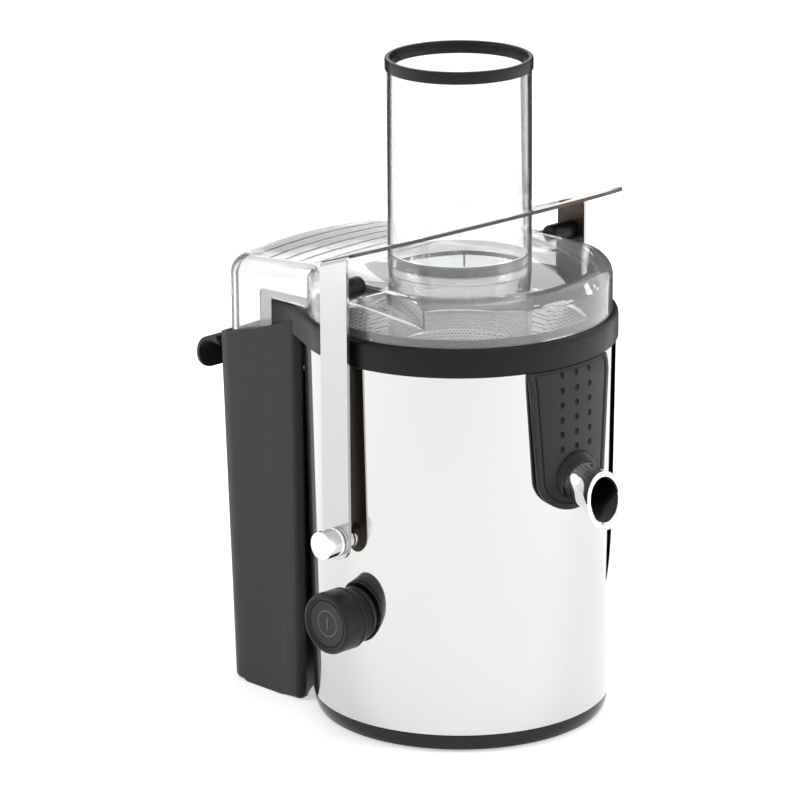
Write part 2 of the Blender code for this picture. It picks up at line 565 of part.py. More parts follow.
def make_container():
    container = pulp_block("pulp_container", 0, 0, 240, SATIN_GREY, "container")
    combine(container, pulp_block("container_hollow", WALL, 3, 250), "DIFFERENCE")
    above = [(-170, PULP_END_Z), (PULP_END_X, PULP_END_Z), (PULP_PEAK_X, PULP_PEAK_Z),
             (PULP_PEAK_X + 4, RIM_LOW - 1), (-40, 228), (-40, 260), (-170, 260)]
    combine(container, plate("rim_cut", above, -90, 90, turn=ACROSS_Y), "DIFFERENCE")
    low_rim = boxes("inner_rim_cut", [((-68, 0, PULP_INNER_RIM_Z + 30), (61, 134.8, 60), 0)])
    combine(container, low_rim, "DIFFERENCE")
    lip = [(PULP_END_X + 1, PULP_END_Z), (PULP_END_X - 7, PULP_END_Z - 3)]
    lip += arc((PULP_END_X - LIP_REACH + 8, PULP_END_Z - 13), 8, 100, 280, 9)
    lip += [(PULP_END_X - 8, PULP_END_Z - 19), (PULP_END_X - 8, PULP_END_Z - 9),
            (PULP_END_X + 1, PULP_END_Z - 9)]
    handle = plate("lip_handle", lip, -LIP_HALF_LENGTH, LIP_HALF_LENGTH, turn=ACROSS_Y)
    combine(container, handle, "UNION")


make_base()
make_sleeve()
make_motor_frame()
make_electrics()
make_rotor()
make_bowl()
make_spout()
make_lid()
make_arm()
make_pivots()
make_knob()
make_container()
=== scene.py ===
# %% [markdown]
# # A centrifugal juicer, piece by piece
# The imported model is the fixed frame: it gives the bodies that move and the place of every part.
# This lesson dresses it. Each step says what the real piece is, how it could be made in Blender,
# and why this way was chosen. Lengths are in millimetres from the motor's axis, with +X towards
# the spout and -Y towards the knob, until a piece is finished and scaled to metres.

# %% Load the frame
import json
import math

import bmesh
import bpy
from mathutils import Matrix, Vector


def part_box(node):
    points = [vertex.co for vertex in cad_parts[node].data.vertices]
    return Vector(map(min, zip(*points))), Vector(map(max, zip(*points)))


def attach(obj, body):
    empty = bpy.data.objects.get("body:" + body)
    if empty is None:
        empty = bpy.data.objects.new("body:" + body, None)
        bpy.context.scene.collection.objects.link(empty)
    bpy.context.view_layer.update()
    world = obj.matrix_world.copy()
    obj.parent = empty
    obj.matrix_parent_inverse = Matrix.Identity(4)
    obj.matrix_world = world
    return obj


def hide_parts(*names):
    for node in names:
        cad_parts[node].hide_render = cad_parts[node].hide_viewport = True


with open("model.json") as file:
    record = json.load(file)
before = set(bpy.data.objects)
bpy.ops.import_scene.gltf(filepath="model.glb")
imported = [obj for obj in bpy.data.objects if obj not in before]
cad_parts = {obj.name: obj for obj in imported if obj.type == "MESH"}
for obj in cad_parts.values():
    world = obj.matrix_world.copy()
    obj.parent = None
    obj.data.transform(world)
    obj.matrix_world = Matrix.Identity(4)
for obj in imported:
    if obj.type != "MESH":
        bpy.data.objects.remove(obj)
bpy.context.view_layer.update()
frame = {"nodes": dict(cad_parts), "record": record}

MM = 0.001
SCENE = bpy.context.scene


low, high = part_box("feed_chute")
AXIS = Vector(((low.x + high.x) / 2, 0, 0))


def spot(node):
    """Lowest and highest corner of a CAD node in millimetres, measured from the motor's axis."""
    low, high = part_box(node)
    return (low - AXIS) / MM, (high - AXIS) / MM


print(f"motor axis stands at x = {AXIS.x / MM:.2f} mm, {len(frame['nodes'])} nodes")

# %% [markdown]
# ## Camera
# The view is that of a catalogue picture: a long lens from above one corner, a little over two and
# a half metres away, so upright lines stay upright. A camera could be aimed with a constraint, but
# three plain turns (heading, pitch, roll) keep it free of other objects.

# %% Camera
LENS = 206.4
STAND = Vector((1838.5, -1838.5, 985.9))  # where the lens stands, in millimetres
HEADING, PITCH, ROLL = math.radians(45.785), math.radians(17.02), math.radians(-0.42)

camera_data = bpy.data.cameras.new("camera")
camera_data.lens = LENS
camera_data.clip_start, camera_data.clip_end = 0.1, 50
camera = bpy.data.objects.new("camera", camera_data)
SCENE.collection.objects.link(camera)
camera.matrix_world = (
    Matrix.Translation(STAND * MM + AXIS)
    @ Matrix.Rotation(HEADING, 4, "Z")
    @ Matrix.Rotation(math.radians(90) - PITCH, 4, "X")
    @ Matrix.Rotation(ROLL, 4, "Z")
)
SCENE.camera = camera
print("camera", [round(v, 3) for v in camera.location], "lens", LENS)

# %% [markdown]
# ## Helpers for shapes
# Most pieces of a juicer are turned or moulded, so they start from an outline whose corners carry
# their own rounding. `outline` draws it as one flat face and rounds each corner with a vertex
# bevel; `turned` spins its edge about the Z axis, and `raised` pushes the face up. `sliced` adds cuts
# so that a flat face can be bent later. `combine` is an exact Boolean between two bmeshes, used
# where one moulding cuts into another.

# %% Outlines, turning and raising
def outline(corners, plane="XZ", steps=5):
    """One flat face through (across, up) or (across, up, rounding) corners."""
    work = bmesh.new()
    points = [(a, 0, b) if plane == "XZ" else (a, b, 0) for a, b, *_ in corners]
    verts = [work.verts.new(point) for point in points]
    work.faces.new(verts)
    for vert, corner in zip(verts, corners):
        if len(corner) > 2 and corner[2] > 0:
            bmesh.ops.bevel(work, geom=[vert], offset=corner[2], segments=steps, profile=0.5,
                            affect="VERTICES", material=-1)
    return work


def tidy(work):
    bmesh.ops.remove_doubles(work, verts=work.verts, dist=0.0005)
    bmesh.ops.recalc_face_normals(work, faces=work.faces)
    return work


def turned(corners, steps=96, rounding_steps=5):
    """A closed outline of (radius, height, rounding) corners spun about the Z axis."""
    work = outline(corners, steps=rounding_steps)
    bmesh.ops.delete(work, geom=work.faces[:], context="FACES_ONLY")
    on_axis = [e for e in work.edges if all(abs(v.co.x) < 0.0001 for v in e.verts)]
    bmesh.ops.delete(work, geom=on_axis, context="EDGES")
    bmesh.ops.spin(work, geom=work.verts[:] + work.edges[:], cent=(0, 0, 0), axis=(0, 0, 1),
                   dvec=(0, 0, 0), angle=math.tau, steps=steps, use_merge=True)
    return tidy(work)


def raised(corners, low, high, plane="XY", rounding_steps=5):
    """A flat outline given a thickness, from low to high across its plane."""
    work = outline(corners, plane, rounding_steps)
    across = Vector((0, 0, 1)) if plane == "XY" else Vector((0, 1, 0))
    bmesh.ops.translate(work, verts=work.verts, vec=across * low)
    grown = bmesh.ops.extrude_face_region(work, geom=work.faces[:])
    tops = [part for part in grown["geom"] if isinstance(part, bmesh.types.BMVert)]
    bmesh.ops.translate(work, verts=tops, vec=across * (high - low))
    return tidy(work)


def sliced(work, cuts, **options):
    """Cuts a shape by planes, each given as a point and a normal."""
    for point, normal in cuts:
        bmesh.ops.bisect_plane(work, geom=work.verts[:] + work.edges[:] + work.faces[:], dist=0.0001,
                               plane_co=point, plane_no=normal, **options)
    return work


def oblong(x0, x1, y0, y1, rounding=0.0):
    """The corners of a rectangle, for outline or raised."""
    return [(x0, y0, rounding), (x1, y0, rounding), (x1, y1, rounding), (x0, y1, rounding)]


def arc(centre, radius, start, end, count):
    """Points on an arc, both ends included, angles in degrees."""
    turns = [math.radians(start + (end - start) * i / (count - 1)) for i in range(count)]
    return [(centre[0] + radius * math.cos(t), centre[1] + radius * math.sin(t)) for t in turns]


FACING = {"+X": ("Y", 90), "+Y": ("X", -90), "-Y": ("X", 90)}


def aimed(work, way, at):
    """Turns a piece made along +Z to point another way, then moves it."""
    axis, angle = FACING[way]
    bmesh.ops.rotate(work, verts=work.verts, cent=(0, 0, 0),
                     matrix=Matrix.Rotation(math.radians(angle), 3, axis))
    bmesh.ops.translate(work, verts=work.verts, vec=at)
    return work


def combine(work, tool, operation):
    """Cuts one closed bmesh from another, or joins them. Both are used up."""
    pair = []
    for part in (work, tool):
        mesh = bpy.data.meshes.new("blank")
        part.to_mesh(mesh)
        part.free()
        blank = bpy.data.objects.new("blank", mesh)
        SCENE.collection.objects.link(blank)
        pair.append(blank)
    modifier = pair[0].modifiers.new("combine", "BOOLEAN")
    modifier.operation, modifier.solver, modifier.object = operation, "EXACT", pair[1]
    bpy.context.view_layer.update()
    result = bmesh.new()
    result.from_object(pair[0], bpy.context.evaluated_depsgraph_get())
    for blank in pair:
        mesh = blank.data
        bpy.data.objects.remove(blank)
        bpy.data.meshes.remove(mesh)
    bmesh.ops.remove_doubles(result, verts=result.verts, dist=0.0005)
    return result


def soften(work, width, angle=40, segments=2, where=None):
    """Rounds the sharp edges of a shape, all of them or those that where() picks."""
    work.normal_update()
    sharp = [e for e in work.edges if len(e.link_faces) == 2
             and e.calc_face_angle(0) > math.radians(angle) and (where is None or where(e))]
    bmesh.ops.bevel(work, geom=sharp, offset=width, segments=segments, profile=0.5,
                    affect="EDGES", material=-1, clamp_overlap=True)
    return work


def keep(work, name, body, finish, slot, *nodes, sharp=35):
    """Finishes a piece: metres, smooth shading, its material, its body and the nodes it stands for."""
    bmesh.ops.scale(work, verts=work.verts, vec=(MM, MM, MM))
    bmesh.ops.translate(work, verts=work.verts, vec=AXIS)
    mesh = bpy.data.meshes.new(name)
    work.to_mesh(mesh)
    work.free()
    mesh.shade_smooth()
    mesh.set_sharp_from_angle(angle=math.radians(sharp))
    mesh.materials.append(finish)
    piece = bpy.data.objects.new(name, mesh)
    SCENE.collection.objects.link(piece)
    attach(piece, body)
    if nodes:
        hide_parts(*nodes)
    mesh.calc_loop_triangles()
    size = [f"{side / MM:.1f}" for side in piece.dimensions]
    print(f"{name}: {' x '.join(size)} mm, {len(mesh.loop_triangles)} triangles, rides on {body}")
    return piece


# %% [markdown]
# ## Helpers for finishes
# A finish is a Principled shader with a little procedural variation. Colours are written as sRGB hex
# values, as a designer would pick them, and one function turns them to the linear values that
# Blender mixes. Patterns read Object coordinates in metres, so a grain size in millimetres becomes
# a scale of one over that size.

# %% Colour, node and finish helpers
def linear(code):
    """An sRGB hex colour as linear RGBA."""
    parts = [int(code[i:i + 2], 16) / 255 for i in (1, 3, 5)]
    return (*[p / 12.92 if p <= 0.04045 else ((p + 0.055) / 1.055) ** 2.4 for p in parts], 1.0)


def add(material, kind, settings=None, **links):
    """Adds a node; settings go to its properties or sockets, links name (node, output) sources."""
    tree = material.node_tree
    item = tree.nodes.new(kind)
    for key, value in (settings or {}).items():
        if hasattr(item, key) and key not in item.inputs:
            setattr(item, key, value)
        else:
            item.inputs[key].default_value = value
    for key, (source, output) in links.items():
        tree.links.new(source.outputs[output], item.inputs[key.replace("_", " ")])
    return item


def finish(name, colour, roughness, metallic=0.0, **extra):
    """A Principled material with its uniform values set on the shader's own sockets."""
    material = bpy.data.materials.new(name)
    material.use_nodes = True
    shader = material.node_tree.nodes["Principled BSDF"]
    values = {"Base Color": linear(colour), "Roughness": roughness, "Metallic": metallic}
    values.update({key.replace("_", " "): value for key, value in extra.items()})
    for key, value in values.items():
        shader.inputs[key].default_value = value
    return material


def grain(material, size_mm, depth_mm, detail=2.0, stretch=(1, 1, 1)):
    """Bump from a noise whose lumps are size_mm across and depth_mm deep."""
    shader = material.node_tree.nodes["Principled BSDF"]
    place = add(material, "ShaderNodeTexCoord")
    scaled = add(material, "ShaderNodeMapping", {"Scale": stretch}, Vector=(place, "Object"))
    noise = add(material, "ShaderNodeTexNoise", {"Scale": 1 / (size_mm * MM), "Detail": detail},
                Vector=(scaled, "Vector"))
    bump = add(material, "ShaderNodeBump", {"Strength": 1.0, "Distance": depth_mm * MM},
               Height=(noise, "Fac"))
    material.node_tree.links.new(bump.outputs["Normal"], shader.inputs["Normal"])
    return noise


def varied(material, socket, low, high, size_mm, detail=3.0, stretch=(1, 1, 1)):
    """Lets a shader value wander between low and high, over patches size_mm across."""
    shader = material.node_tree.nodes["Principled BSDF"]
    place = add(material, "ShaderNodeTexCoord")
    scaled = add(material, "ShaderNodeMapping", {"Scale": stretch}, Vector=(place, "Object"))
    noise = add(material, "ShaderNodeTexNoise", {"Scale": 1 / (size_mm * MM), "Detail": detail},
                Vector=(scaled, "Vector"))
    ramp = add(material, "ShaderNodeValToRGB", Fac=(noise, "Fac"))
    ramp.color_ramp.elements[0].position, ramp.color_ramp.elements[1].position = 0.3, 0.7
    colours = (low, high) if isinstance(low, tuple) else ((low,) * 3 + (1,), (high,) * 3 + (1,))
    for stop, colour in zip(ramp.color_ramp.elements, colours):
        stop.color = colour
    material.node_tree.links.new(ramp.outputs["Color"], shader.inputs[socket])
    return material


# %% [markdown]
# ## Metals
# The body and the arm are stainless sheet, buffed to a mirror: it reflects almost everything, with
# a faint bloom where the buffing was uneven. The caps and spout are chrome plate, brighter, bluer
# and even sharper. The basket and grater inside are plain rolled steel with a satin surface.

# %% Metals
MIRROR_STEEL = finish("mirror_polished_stainless", "#cbcbca", 0.05, 1.0)
varied(MIRROR_STEEL, "Roughness", 0.035, 0.075, 60)

ARM_STEEL = finish("polished_stainless_strip", "#bcbcbb", 0.14, 1.0)
varied(ARM_STEEL, "Roughness", 0.12, 0.18, 25, stretch=(1, 1, 0.05))

# Dark steel for the inside of the arm's legs and under its visor: its dark colour is painted shade.
PAINTED_SHADE_STEEL = finish("painted_shade_stainless_back", "#5e554e", 0.4, 1.0)
varied(PAINTED_SHADE_STEEL, "Roughness", 0.35, 0.5, 4, stretch=(1, 1, 0.05))

CHROME = finish("chrome_plate", "#ececee", 0.04, 1.0)
varied(CHROME, "Roughness", 0.03, 0.06, 15)

PLAIN_STEEL = finish("rolled_stainless", "#b9b9ba", 0.25, 1.0)
varied(PLAIN_STEEL, "Roughness", 0.18, 0.32, 8)

COPPER = finish("enamelled_copper_wire", "#b8622f", 0.35, 1.0)
varied(COPPER, "Base Color", linear("#a4521f"), linear("#c9743e"), 1.2, stretch=(1, 1, 6))

# %% [markdown]
# ## Plastics and rubber
# The rim, the spout's apron and the pulp container are ABS moulded in a spark-eroded tool, which
# leaves a fine even grain and a soft satin sheen. The base ring came from a polished tool and is
# glossy. A grain of a few hundredths of a millimetre is too fine to show, so it is drawn at 0.4 mm.

# %% Plastics and rubber
SATIN_ABS = finish("satin_grey_abs", "#3e3e3e", 0.48, Specular_IOR_Level=0.18)
grain(SATIN_ABS, 0.4, 0.012)
varied(SATIN_ABS, "Roughness", 0.40, 0.50, 12)

RIM_ABS = finish("satin_dark_abs", "#222222", 0.40, Specular_IOR_Level=0.2)
grain(RIM_ABS, 0.4, 0.008)
varied(RIM_ABS, "Roughness", 0.34, 0.44, 12)

GLOSS_ABS = finish("gloss_black_abs", "#080808", 0.12, Specular_IOR_Level=0.35)
varied(GLOSS_ABS, "Roughness", 0.09, 0.16, 18)

BLACK_ABS = finish("black_abs", "#100f0f", 0.30, Specular_IOR_Level=0.3)
grain(BLACK_ABS, 0.5, 0.008)
varied(BLACK_ABS, "Roughness", 0.28, 0.38, 10)

NYLON = finish("natural_nylon", "#d8d6ce", 0.4)
varied(NYLON, "Base Color", linear("#d2cfc4"), linear("#dedcd6"), 6)

RUBBER = finish("moulded_rubber", "#1c1c1c", 0.8)
grain(RUBBER, 0.6, 0.03)

CARBON = finish("pressed_carbon", "#262626", 0.6)
grain(CARBON, 0.3, 0.03)

# %% [markdown]
# ## Clear plastic
# The lid and chute are injection-moulded SAN, a clear styrene plastic. They are made as real walls
# with an inside and an outside, so each edge bends and darkens the light as the real one does. The
# index is set a little under the plastic's own 1.57, which keeps the dark edges thin. A slow ripple
# stands for the flow of the plastic in the tool, and a little diffuse white for the haze of a washed
# lid. Light crosses many walls, so more bounces are allowed.

# %% Clear plastics
SCENE.cycles.max_bounces = SCENE.cycles.transmission_bounces = 32
SCENE.cycles.transparent_max_bounces = 32
CLEAR_SAN = finish("clear_san", "#fbfcfc", 0.0, Transmission_Weight=0.92, IOR=1.5)
grain(CLEAR_SAN, 26, 0.012, detail=0.0)

CHUTE_SAN = finish("clear_san_tube", "#fdfefe", 0.0, Transmission_Weight=0.97, IOR=1.45)
varied(CHUTE_SAN, "Roughness", 0.0, 0.015, 40)

SMOKED_SAN = finish("smoked_san", "#b4b5b7", 0.06, Transmission_Weight=0.75, IOR=1.3)
grain(SMOKED_SAN, 30, 0.01, detail=0.0)

FINISHES = {
    "mirror_steel": MIRROR_STEEL, "chrome": CHROME, "satin_grey_plastic": SATIN_ABS,
    "gloss_black_plastic": GLOSS_ABS, "black_plastic": BLACK_ABS, "clear_plastic": CLEAR_SAN,
    "rubber": RUBBER, "plain_steel": PLAIN_STEEL, "copper_winding": COPPER, "carbon": CARBON,
    "natural_plastic": NYLON,
}
for row in frame["record"]["subparts"]:
    slots = frame["nodes"][row["node"]].data.materials
    slots.clear()
    slots.append(FINISHES[row["material_slot"]])
print(f"{len(FINISHES)} slots dressed on {len(frame['nodes'])} nodes")

# %% [markdown]
# ## Steel sleeve and base
# The body is one rolled sheet, welded and buffed, a little wider at the top. It stands in a glossy
# black ring whose lower edge is rounded under. Both are turned shapes with many steps, because a
# mirror shows every flat.

# %% Sleeve
SLEEVE_FOOT_R, SLEEVE_TOP_R, SHEET = 89.0, 92.1, 0.9
sleeve_low, sleeve_high = spot("body_sleeve")
sleeve = turned([
    (SLEEVE_TOP_R - SHEET, sleeve_high.z), (SLEEVE_TOP_R, sleeve_high.z),
    (SLEEVE_FOOT_R, sleeve_low.z, 0.4), (SLEEVE_FOOT_R - SHEET, sleeve_low.z)], steps=192)
keep(sleeve, "steel_sleeve", "body", MIRROR_STEEL, "mirror_steel", "body_sleeve")

# %% Base ring
ring_low, ring_high = spot("base_ring")
base = turned([
    (84.5, ring_high.z), (86.8, ring_high.z), (86.8, 11.0), (88.3, 11.0, 0.5), (88.3, 6.0, 2.5),
    (86.0, ring_low.z, 1.5), (83.5, ring_low.z, 0.5), (83.5, 6.5), (80, 6.5), (80, 8.5), (84.5, 8.5)],
    steps=160)
keep(base, "base_ring_moulding", "body", GLOSS_ABS, "gloss_black_plastic", "base_ring")

# %% [markdown]
# ## Juice bowl
# The bowl hangs inside the sleeve: a cup with a chimney for the drive shaft. Its dark rim shows as a
# band round the top, and at the back two wings reach past the pulp container. The cup is turned.
# The band is a section swept round the bowl, then pushed on along each wing, so there is no seam
# where the wing leaves the circle.

# %% Bowl cup
RIM_R, RIM_LOW, RIM_TOP = 93.5, 231.0, 247.6
bowl_low, bowl_high = spot("filter_bowl")
cup = turned([
    (85.2, bowl_high.z, 0.6), (87.0, bowl_high.z, 0.6), (87.2, 230.5), (86.5, 160, 3), (83, bowl_low.z, 3),
    (16.5, bowl_low.z), (16.5, 188, 0.6), (19.5, 188, 0.6), (19.5, 158, 2), (81.5, 158, 3),
    (84, 162, 1)], steps=128)
keep(cup, "juice_bowl_cup", "body", SATIN_ABS, "satin_grey_plastic", "filter_bowl")

# %% Bowl rim with its wings
WING_Y, WING_BEND_X, WING_END_X = 66.0, -78.0, -92.0
wing_reach = math.hypot(WING_BEND_X, WING_Y)
WING_TURN = math.atan2(WING_Y, WING_BEND_X) - math.acos(RIM_R / wing_reach)
BAND_IN = 87.6
band = outline([(BAND_IN, RIM_LOW + 0.2), (RIM_R, RIM_LOW, 0.8), (RIM_R, RIM_TOP, 3.2),
                (BAND_IN, RIM_TOP, 0.5)])
depth = band.verts.layers.float.new("depth")
for vert in band.verts:
    vert[depth] = RIM_R - vert.co.x
bmesh.ops.delete(band, geom=band.faces[:], context="FACES_ONLY")
bmesh.ops.rotate(band, verts=band.verts, cent=(0, 0, 0), matrix=Matrix.Rotation(WING_TURN, 3, "Z"))
bmesh.ops.spin(band, geom=band.verts[:] + band.edges[:], cent=(0, 0, 0), axis=(0, 0, 1), dvec=(0, 0, 0),
               angle=-2 * WING_TURN, steps=120, use_merge=False)
for side in (1, -1):
    along = Vector((-math.cos(WING_TURN), -side * math.sin(WING_TURN), 0))
    square = Vector((0, -side, 0))
    mitre = (along + square) / (1 + along.dot(square))
    rim_edges = [e for e in band.edges if e.is_boundary and e.verts[0].co.y * side > 0]
    for corner, inward in ((Vector((WING_BEND_X, side * WING_Y, 0)), mitre),
                           (Vector((WING_END_X, side * WING_Y, 0)), square)):
        grown = bmesh.ops.extrude_edge_only(band, edges=rim_edges)
        rim_edges = [part for part in grown["geom"] if isinstance(part, bmesh.types.BMEdge)]
        for vert in {v for e in rim_edges for v in e.verts}:
            vert.co = corner + inward * vert[depth] + Vector((0, 0, vert.co.z))
    bmesh.ops.contextual_create(band, geom=rim_edges)
band.verts.layers.float.remove(depth)
tidy(band)
keep(band, "juice_bowl_rim", "body", RIM_ABS, "satin_grey_plastic", "filter_bowl")

# %% [markdown]
# ## Lid
# The lid is the hardest moulding: a round part over the basket, a box over the pulp container, a
# stub of tube for the chute, and a curved channel at each shoulder that a stud of the arm runs in.
# Subdivision would round everything alike, so the lid is cut from solid blocks: an outer block,
# less an inner one a wall thinner, less the channels. Its long top falls away over the box, a
# little more at the sides than in the middle, and carries shallow grooves.

# %% Lid blocks
LID_R, LID_Y, LID_END_X, LID_TOP, WALL = 90.0, 66.0, -136.0, 276.5, 2.5
LID_ROUND, LID_CORNER_R = 11.0, 14.0
LID_SLOPE_X, LID_SLOPE, LID_CROWN = -30.0, 0.068, 0.042
LID_CUTS = [((0, y, 0), (0, 1, 0)) for y in range(-48, 49, 8)]


def lid_fall(x, y):
    """How far the top of the box has dropped below the round part's top."""
    return max(0.0, LID_SLOPE_X - x) * (LID_SLOPE + LID_CROWN * (y / 60) ** 2)


def lid_block(inset):
    """A solid lid shape, drawn inset from the outside."""
    radius, side, end, corner = LID_R - inset, LID_Y - inset, LID_END_X + inset, LID_CORNER_R - inset
    meet = math.degrees(math.asin(side / radius))
    half = arc((0, 0), radius, 0, 180 - meet, 61) + arc((end + corner, side - corner), corner, 90, 180, 13)
    whole = half + [(x, -y) for x, y in reversed(half) if abs(y) > 0.001]
    work = raised(whole, 200, LID_TOP - inset)
    work.normal_update()
    shoulder = [e for e in work.edges if len(e.link_faces) == 2
                and any(f.normal.z > 0.9 for f in e.link_faces)
                and any(abs(f.normal.z) < 0.1 for f in e.link_faces)]
    bmesh.ops.bevel(work, geom=shoulder, offset=LID_ROUND - inset, segments=8, profile=0.5,
                    affect="EDGES", material=-1, clamp_overlap=True)
    sliced(work, [((LID_SLOPE_X, 0, 0), (1, 0, 0))] + LID_CUTS)
    for vert in work.verts:
        if vert.co.z > 240:
            vert.co.z -= lid_fall(vert.co.x, vert.co.y)
    return tidy(work)


PIVOT_X, PIVOT_Z, STUD_Z, STUD_R = -3.0, 124.7, 275.2, 6.0
LEG_Y, LEG_SHEET, STUD_LENGTH = 99.8, 2.0, 20.0


def stud_channel(side, extra):
    """The space that a press stud sweeps through the lid's shoulder, grown by extra."""
    floor = STUD_Z - PIVOT_Z - STUD_R - 0.3 - extra
    start = math.degrees(math.asin((STUD_R + 1.0 + extra) / floor))
    path = arc((PIVOT_X, PIVOT_Z), floor, 90 + start, 45, 25)
    shape = path + [(path[-1][0] + 40, path[-1][1]), (path[-1][0] + 40, 300), (path[0][0], 300)]
    inner = LEG_Y - LEG_SHEET - STUD_LENGTH - 1.0 - extra
    low, high = sorted((side * inner, side * 110))
    return raised(shape, low, high, plane="XZ")


# %% Cut the lid
lid, hollow = lid_block(0), lid_block(WALL)
for side in (1, -1):
    hollow = combine(hollow, stud_channel(side, WALL), "DIFFERENCE")
    lid = combine(lid, stud_channel(side, 0), "DIFFERENCE")
lid = combine(lid, hollow, "DIFFERENCE")
SEAT = RIM_TOP + 0.3
foot = [(-170, 190), (110, 190), (110, SEAT), (WING_END_X - 0.3, SEAT), (WING_END_X - 0.3, 226),
        (LID_END_X, 209), (-170, 199)]
lid = combine(lid, raised(foot, -110, 110, plane="XZ"), "DIFFERENCE")
TUBE_R, TUBE_BORE_R = 42.5, 40.0
tube_low, tube_top = 222.0, spot("lid")[1].z
stub = turned([(0, tube_low), (TUBE_R, tube_low), (TUBE_R, tube_top, 0.4), (0, tube_top)], 128)
bore = turned([(0, 200), (TUBE_BORE_R, 200), (TUBE_BORE_R, 300), (0, 300)], 128)
lid = combine(combine(lid, stub, "UNION"), bore, "DIFFERENCE")

# %% Grooves along the top of the box
GROOVE, GROOVE_DEPTH = 1.8, 0.8
grooves = bmesh.new()
for step in range(5):
    x = -64 - 13 * step
    reach = 56 if step < 4 else 48
    bar = raised(oblong(x - GROOVE / 2, x + GROOVE / 2, -reach, reach), -GROOVE_DEPTH, GROOVE_DEPTH)
    for vert in sliced(bar, LID_CUTS).verts:
        vert.co.z += LID_TOP - lid_fall(x, vert.co.y)
    blank = bpy.data.meshes.new("groove")
    bar.to_mesh(blank)
    bar.free()
    grooves.from_mesh(blank)
    bpy.data.meshes.remove(blank)
lid = combine(lid, grooves, "DIFFERENCE")
keep(lid, "clear_lid", "body", CLEAR_SAN, "clear_plastic", "lid", sharp=25)

# %% [markdown]
# ## Feed chute
# A clear tube as wide as a whole fruit, closed at the top by a black collar with a ledge inside.
# It stands on the lid's stub, and the joint shows as a thin ellipse.

# %% Chute and its collar
chute_low, chute_high = spot("feed_chute")
chute = turned([
    (TUBE_BORE_R, chute_low.z, 0.4), (TUBE_R, chute_low.z, 0.6), (TUBE_R, chute_high.z),
    (TUBE_BORE_R, chute_high.z)], steps=160)
keep(chute, "clear_chute", "body", CHUTE_SAN, "clear_plastic", "feed_chute")
rim_low, rim_high = spot("chute_rim")
collar = turned([
    (39.0, rim_low.z), (43.3, rim_low.z, 0.5), (43.3, rim_high.z, 0.9), (40.6, rim_high.z, 0.5),
    (40.6, rim_high.z - 3.2, 0.3), (39.0, rim_high.z - 3.2, 0.4)], steps=128)
keep(collar, "chute_collar", "body", BLACK_ABS, "black_plastic", "chute_rim")

# %% [markdown]
# ## Locking arm
# One strip of polished stainless, bent into a bail: two upright legs, and between them a visor that
# rises towards the spout. The top is drawn flat from above, its two side edges are spun down through
# the bend and pushed on as legs, then the whole skin is given the sheet's thickness. The inside of each
# leg and the visor's underside and edges get a dark brushed steel whose dark colour is painted shade.

# %% Bail arm
LEG_BACK, LEG_FRONT, BEND = PIVOT_X - 11.0, PIVOT_X + 11.0, 3.5
ARM_TOP_Z, ARM_SLOPE = 291.6, 0.345
VISOR_REACH, VISOR_IN_X, VISOR_IN_Y = 90.2, 58.0, 74.0
edge_y = LEG_Y - BEND
steps = 32
outer = [(x, y) for x, y in ((VISOR_REACH * math.cos(t), LEG_Y * math.sin(t)) for t in
         (math.pi / 2 * i / steps for i in range(steps + 1))) if y < edge_y - 0.4]
inner = [(VISOR_IN_X * math.cos(t), VISOR_IN_Y * math.sin(t)) for t in
         (math.pi / 2 * i / steps for i in range(steps, -1, -1))]
half = outer + [(LEG_FRONT + 6, edge_y), (LEG_FRONT, edge_y), (LEG_BACK, edge_y), (LEG_BACK, VISOR_IN_Y)]
half += inner
arm = outline(half + [(x, -y) for x, y in reversed(half) if abs(y) > 0.001], "XY")
for side in (1, -1):
    fold = [e for e in arm.edges
            if all(abs(v.co.y - side * edge_y) < 0.01 and v.co.x < LEG_FRONT + 0.1 for v in e.verts)]
    bent = bmesh.ops.spin(arm, geom=fold + list({v for e in fold for v in e.verts}),
                          cent=(0, side * edge_y, -BEND), axis=(1, 0, 0), dvec=(0, 0, 0),
                          angle=-side * math.pi / 2, steps=8, use_merge=False)
    ends = [part for part in bent["geom_last"] if isinstance(part, bmesh.types.BMEdge)]
    leg = bmesh.ops.extrude_edge_only(arm, edges=ends)
    for part in leg["geom"]:
        if isinstance(part, bmesh.types.BMVert):
            part.co.z = -40
bmesh.ops.remove_doubles(arm, verts=arm.verts, dist=0.001)
for vert in arm.verts:
    vert.co.z += ARM_TOP_Z + (vert.co.x - LEG_BACK) * ARM_SLOPE
for side in (1, -1):
    tips = [e for e in arm.edges if e.is_boundary and all(v.co.y * side > 90 and v.co.z < 262 for v in e.verts)]
    leg = bmesh.ops.extrude_edge_only(arm, edges=tips)
    toes = [part for part in leg["geom"] if isinstance(part, bmesh.types.BMVert)]
    for vert in toes:
        vert.co.z = PIVOT_Z - 11
    bmesh.ops.bevel(arm, geom=toes, offset=11, segments=12, profile=0.5, affect="VERTICES", material=-1)
bmesh.ops.recalc_face_normals(arm, faces=arm.faces)
if max(arm.faces, key=lambda f: f.calc_center_median().z).normal.z < 0:
    bmesh.ops.reverse_faces(arm, faces=arm.faces)
skin = arm.faces[:]
bmesh.ops.solidify(arm, geom=skin, thickness=LEG_SHEET)
bmesh.ops.recalc_face_normals(arm, faces=arm.faces)
soften(arm, 0.35, angle=60)
# Faces inside each leg and under the visor take the second, dark material: painted shade.
for face in arm.faces:
    middle = face.calc_center_median()
    inside_leg = abs(middle.y) > 90 and middle.z < 285 and face.normal.y * middle.y < -60
    under_visor = middle.x > LEG_FRONT + 3 and face.normal.z < 0.4
    face.material_index = int(inside_leg or under_visor)
strip = keep(arm, "locking_arm_strip", "locking_arm", ARM_STEEL, "mirror_steel", "bail_arm", sharp=12)
strip.data.materials.append(PAINTED_SHADE_STEEL)

